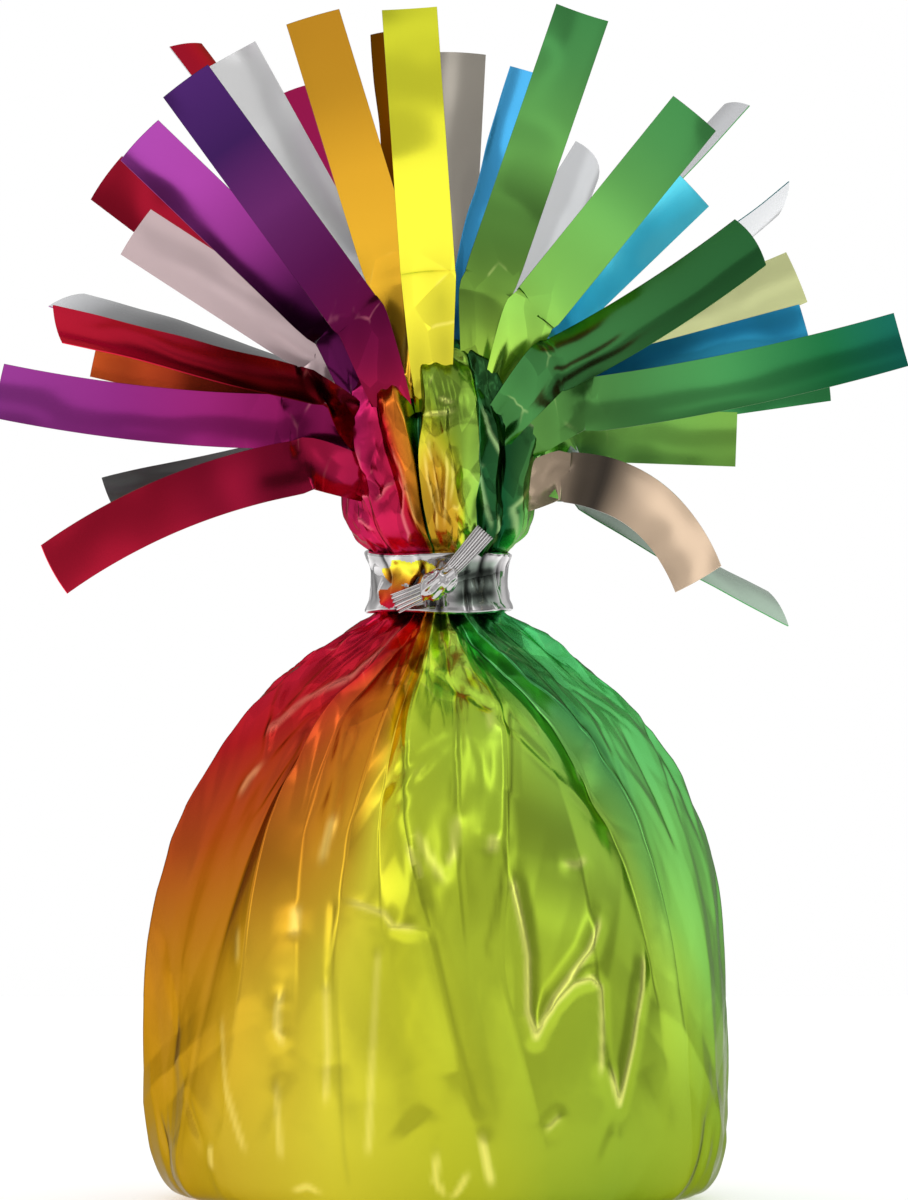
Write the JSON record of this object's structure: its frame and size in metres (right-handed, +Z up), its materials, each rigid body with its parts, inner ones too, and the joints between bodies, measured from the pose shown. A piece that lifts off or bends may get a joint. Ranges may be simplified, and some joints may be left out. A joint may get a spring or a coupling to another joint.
{
  "type": "balloon weight",
  "caption": "Free-standing weight wrapped in rainbow metallised film, gathered and tied at the neck with silver ribbon, with a fringed film top; holds balloon ribbons down.",
  "frame": {"origin": "centre of the flat base, on the surface that the weight stands on", "axes": "+Z up through the tied neck; -Y towards the side with the ribbon's knot, +X to that side's right"},
  "size_m": [0.1055, 0.0784, 0.1396],
  "materials": {
    "base_card": "uncoated grey card",
    "cup_plastic": "thin moulded white plastic",
    "plaster": "cast plaster",
    "film_lime": "printed metallised film",
    "film_crimson": "printed metallised film",
    "film_purple": "printed metallised film",
    "film_gold": "printed metallised film",
    "film_yellow": "printed metallised film",
    "film_green": "printed metallised film",
    "film_blue": "printed metallised film",
    "film_silver": "metallised film, unprinted side out",
    "ribbon_silver": "silver metallised ribbon"
  },
  "bodies": {
    "wrapped_weight": {"base_card": "base_card", "weight_cup": "cup_plastic", "plaster_weight": "plaster", "foil_skirt": "film_lime", "foil_throat": "film_lime", "foil_gathers": "film_lime", "foil_crown": "film_lime", "tie_band": "ribbon_silver", "tie_knot": "ribbon_silver", "tie_tail_long": "ribbon_silver", "tie_tail_short": "ribbon_silver"},
    "strip_01": {"fringe_strip_01": "film_crimson"},
    "strip_02": {"fringe_strip_02": "film_crimson"},
    "strip_03": {"fringe_strip_03": "film_purple"},
    "strip_04": {"fringe_strip_04": "film_purple"},
    "strip_05": {"fringe_strip_05": "film_crimson"},
    "strip_06": {"fringe_strip_06": "film_crimson"},
    "strip_07": {"fringe_strip_07": "film_purple"},
    "strip_08": {"fringe_strip_08": "film_silver"},
    "strip_09": {"fringe_strip_09": "film_crimson"},
    "strip_10": {"fringe_strip_10": "film_purple"},
    "strip_11": {"fringe_strip_11": "film_purple"},
    "strip_12": {"fringe_strip_12": "film_purple"},
    "strip_13": {"fringe_strip_13": "film_silver"},
    "strip_14": {"fringe_strip_14": "film_purple"},
    "strip_15": {"fringe_strip_15": "film_gold"},
    "strip_16": {"fringe_strip_16": "film_gold"},
    "strip_17": {"fringe_strip_17": "film_yellow"},
    "strip_18": {"fringe_strip_18": "film_yellow"},
    "strip_19": {"fringe_strip_19": "film_blue"},
    "strip_20": {"fringe_strip_20": "film_green"},
    "strip_21": {"fringe_strip_21": "film_silver"},
    "strip_22": {"fringe_strip_22": "film_green"},
    "strip_23": {"fringe_strip_23": "film_silver"},
    "strip_24": {"fringe_strip_24": "film_blue"},
    "strip_25": {"fringe_strip_25": "film_green"},
    "strip_26": {"fringe_strip_26": "film_silver"},
    "strip_27": {"fringe_strip_27": "film_silver"},
    "strip_28": {"fringe_strip_28": "film_blue"},
    "strip_29": {"fringe_strip_29": "film_green"},
    "strip_30": {"fringe_strip_30": "film_green"},
    "strip_31": {"fringe_strip_31": "film_green"},
    "strip_32": {"fringe_strip_32": "film_silver"},
    "strip_33": {"fringe_strip_33": "film_green"},
    "strip_34": {"fringe_strip_34": "film_purple"},
    "strip_35": {"fringe_strip_35": "film_blue"}
  },
  "joints": [
    {"name": "strip_01_flex", "type": "hinge", "parent": "wrapped_weight", "child": "strip_01", "pos_m": [-0.00972, -0.00698, 0.08646], "axis": [-0.342, 0, 0.9397], "range_deg": [-8, 14], "stiffness_Nm_per_rad": 0.0015},
    {"name": "strip_02_flex", "type": "hinge", "parent": "wrapped_weight", "child": "strip_02", "pos_m": [-0.01174, -0.00323, 0.08729], "axis": [-0.2826, 0.25, 0.9261], "range_deg": [-8, 8], "stiffness_Nm_per_rad": 0.0015},
    {"name": "strip_03_flex", "type": "hinge", "parent": "wrapped_weight", "child": "strip_03", "pos_m": [-0.01135, -0.00507, 0.09099], "axis": [0.0872, 0, 0.9962], "range_deg": [-8, 10], "stiffness_Nm_per_rad": 0.0015},
    {"name": "strip_04_flex", "type": "hinge", "parent": "wrapped_weight", "child": "strip_04", "pos_m": [-0.01142, 0.00467, 0.09181], "axis": [-0.1564, 0, -0.9877], "range_deg": [-10, 6], "stiffness_Nm_per_rad": 0.0015},
    {"name": "strip_05_flex", "type": "hinge", "parent": "wrapped_weight", "child": "strip_05", "pos_m": [-0.01213, -0.00087, 0.0928], "axis": [0.225, 0, 0.9744], "range_deg": [-8, 8], "stiffness_Nm_per_rad": 0.0015},
    {"name": "strip_06_flex", "type": "hinge", "parent": "wrapped_weight", "child": "strip_06", "pos_m": [-0.00954, -0.00733, 0.09329], "axis": [-0.2685, 0.6627, 0.6991], "range_deg": [-8, 8], "stiffness_Nm_per_rad": 0.0015},
    {"name": "strip_07_flex", "type": "hinge", "parent": "wrapped_weight", "child": "strip_07", "pos_m": [-0.00947, 0.00716, 0.09383], "axis": [-0.6403, -0.7424, -0.1971], "range_deg": [-8, 8], "stiffness_Nm_per_rad": 0.0015},
    {"name": "strip_08_flex", "type": "hinge", "parent": "wrapped_weight", "child": "strip_08", "pos_m": [-0.01023, 0.00259, 0.09665], "axis": [-0.5446, 0, -0.8387], "range_deg": [-8, 8], "stiffness_Nm_per_rad": 0.0015},
    {"name": "strip_09_flex", "type": "hinge", "parent": "wrapped_weight", "child": "strip_09", "pos_m": [-0.00871, 0.00605, 0.09657], "axis": [-0.6018, 0, -0.7986], "range_deg": [-8, 8], "stiffness_Nm_per_rad": 0.0015},
    {"name": "strip_10_flex", "type": "hinge", "parent": "wrapped_weight", "child": "strip_10", "pos_m": [-0.00853, -0.00385, 0.09824], "axis": [0.6947, 0, 0.7193], "range_deg": [-8, 8], "stiffness_Nm_per_rad": 0.0015},
    {"name": "strip_11_flex", "type": "hinge", "parent": "wrapped_weight", "child": "strip_11", "pos_m": [-0.00562, -0.00802, 0.09773], "axis": [0.809, 0, 0.5878], "range_deg": [-8, 14], "stiffness_Nm_per_rad": 0.0015},
    {"name": "strip_12_flex", "type": "hinge", "parent": "wrapped_weight", "child": "strip_12", "pos_m": [-0.00618, 0.00344, 0.10028], "axis": [-0.5515, -0.8325, -0.0529], "range_deg": [-8, 8], "stiffness_Nm_per_rad": 0.0015},
    {"name": "strip_13_flex", "type": "hinge", "parent": "wrapped_weight", "child": "strip_13", "pos_m": [-0.00605, 0, 0.10091], "axis": [0.8746, 0, 0.4848], "range_deg": [-6, 6], "stiffness_Nm_per_rad": 0.0015},
    {"name": "strip_14_flex", "type": "hinge", "parent": "wrapped_weight", "child": "strip_14", "pos_m": [-0.00427, 0.00733, 0.09915], "axis": [-0.9063, 0, -0.4226], "range_deg": [-10, 10], "stiffness_Nm_per_rad": 0.0015},
    {"name": "strip_15_flex", "type": "hinge", "parent": "wrapped_weight", "child": "strip_15", "pos_m": [-0.00338, -0.00467, 0.10106], "axis": [0.9563, 0, 0.2924], "range_deg": [-8, 8], "stiffness_Nm_per_rad": 0.0015},
    {"name": "strip_16_flex", "type": "hinge", "parent": "wrapped_weight", "child": "strip_16", "pos_m": [-0.00216, -0.00044, 0.10228], "axis": [0.4872, 0.8655, 0.1166], "range_deg": [-6, 6], "stiffness_Nm_per_rad": 0.0015},
    {"name": "strip_17_flex", "type": "hinge", "parent": "wrapped_weight", "child": "strip_17", "pos_m": [-0.0007, -0.00733, 0.10007], "axis": [0.9976, 0, 0.0698], "range_deg": [-8, 12], "stiffness_Nm_per_rad": 0.0015},
    {"name": "strip_18_flex", "type": "hinge", "parent": "wrapped_weight", "child": "strip_18", "pos_m": [0.00062, 0.00385, 0.10185], "axis": [-0.9986, 0, 0.0523], "range_deg": [-8, 8], "stiffness_Nm_per_rad": 0.0015},
    {"name": "strip_19_flex", "type": "hinge", "parent": "wrapped_weight", "child": "strip_19", "pos_m": [0.00238, 0.00044, 0.10224], "axis": [0.5576, 0.8187, -0.1375], "range_deg": [-6, 6], "stiffness_Nm_per_rad": 0.0015},
    {"name": "strip_20_flex", "type": "hinge", "parent": "wrapped_weight", "child": "strip_20", "pos_m": [0.00377, -0.00467, 0.10094], "axis": [0.9455, 0, -0.3256], "range_deg": [-8, 10], "stiffness_Nm_per_rad": 0.0015},
    {"name": "strip_21_flex", "type": "hinge", "parent": "wrapped_weight", "child": "strip_21", "pos_m": [0.00478, 0.00802, 0.09828], "axis": [-0.866, 0, 0.5], "range_deg": [-10, 10], "stiffness_Nm_per_rad": 0.0015},
    {"name": "strip_22_flex", "type": "hinge", "parent": "wrapped_weight", "child": "strip_22", "pos_m": [0.00687, -0.00605, 0.09848], "axis": [0.7771, 0, -0.6293], "range_deg": [-8, 12], "stiffness_Nm_per_rad": 0.0015},
    {"name": "strip_23_flex", "type": "hinge", "parent": "wrapped_weight", "child": "strip_23", "pos_m": [0.00787, 0.00344, 0.09905], "axis": [-0.4281, 0.9033, 0.0289], "range_deg": [-8, 8], "stiffness_Nm_per_rad": 0.0015},
    {"name": "strip_24_flex", "type": "hinge", "parent": "wrapped_weight", "child": "strip_24", "pos_m": [0.00889, -0.00174, 0.09858], "axis": [0.6947, 0, -0.7193], "range_deg": [-8, 8], "stiffness_Nm_per_rad": 0.0015},
    {"name": "strip_25_flex", "type": "hinge", "parent": "wrapped_weight", "child": "strip_25", "pos_m": [0.00782, -0.00851, 0.0947], "axis": [0.515, 0, -0.8572], "range_deg": [-8, 12], "stiffness_Nm_per_rad": 0.0015},
    {"name": "strip_26_flex", "type": "hinge", "parent": "wrapped_weight", "child": "strip_26", "pos_m": [0.00917, 0.00643, 0.09551], "axis": [0.1824, -0.7769, 0.6027], "range_deg": [-8, 8], "stiffness_Nm_per_rad": 0.0015},
    {"name": "strip_27_flex", "type": "hinge", "parent": "wrapped_weight", "child": "strip_27", "pos_m": [0.01131, 0.00217, 0.0948], "axis": [-0.3907, 0, 0.9205], "range_deg": [-8, 8], "stiffness_Nm_per_rad": 0.0015},
    {"name": "strip_28_flex", "type": "hinge", "parent": "wrapped_weight", "child": "strip_28", "pos_m": [0.01193, -0.00174, 0.0932], "axis": [0.2588, 0, -0.9659], "range_deg": [-6, 6], "stiffness_Nm_per_rad": 0.0015},
    {"name": "strip_29_flex", "type": "hinge", "parent": "wrapped_weight", "child": "strip_29", "pos_m": [0.01071, -0.00605, 0.09208], "axis": [0.1908, 0, -0.9816], "range_deg": [-8, 12], "stiffness_Nm_per_rad": 0.0015},
    {"name": "strip_30_flex", "type": "hinge", "parent": "wrapped_weight", "child": "strip_30", "pos_m": [0.0112, 0.00527, 0.09157], "axis": [-0.1392, 0, 0.9903], "range_deg": [-10, 8], "stiffness_Nm_per_rad": 0.0015},
    {"name": "strip_31_flex", "type": "hinge", "parent": "wrapped_weight", "child": "strip_31", "pos_m": [0.0124, 0.0013, 0.08957], "axis": [-0.0349, 0, -0.9994], "range_deg": [-8, 8], "stiffness_Nm_per_rad": 0.0015},
    {"name": "strip_32_flex", "type": "hinge", "parent": "wrapped_weight", "child": "strip_32", "pos_m": [0.01009, -0.00447, 0.08418], "axis": [-0.5, 0, -0.866], "range_deg": [-8, 10], "stiffness_Nm_per_rad": 0.0015},
    {"name": "strip_33_flex", "type": "hinge", "parent": "wrapped_weight", "child": "strip_33", "pos_m": [0.01057, 0.00467, 0.0853], "axis": [-0.1649, 0.8597, 0.4835], "range_deg": [-8, 8], "stiffness_Nm_per_rad": 0.0015},
    {"name": "strip_34_flex", "type": "hinge", "parent": "wrapped_weight", "child": "strip_34", "pos_m": [-0.00651, 0.01058, 0.09115], "axis": [-0.1736, 0, -0.9848], "range_deg": [-10, 10], "stiffness_Nm_per_rad": 0.0015},
    {"name": "strip_35_flex", "type": "hinge", "parent": "wrapped_weight", "child": "strip_35", "pos_m": [0.00651, 0.01058, 0.09115], "axis": [-0.1736, 0, 0.9848], "range_deg": [-10, 10], "stiffness_Nm_per_rad": 0.0015}
  ]
}
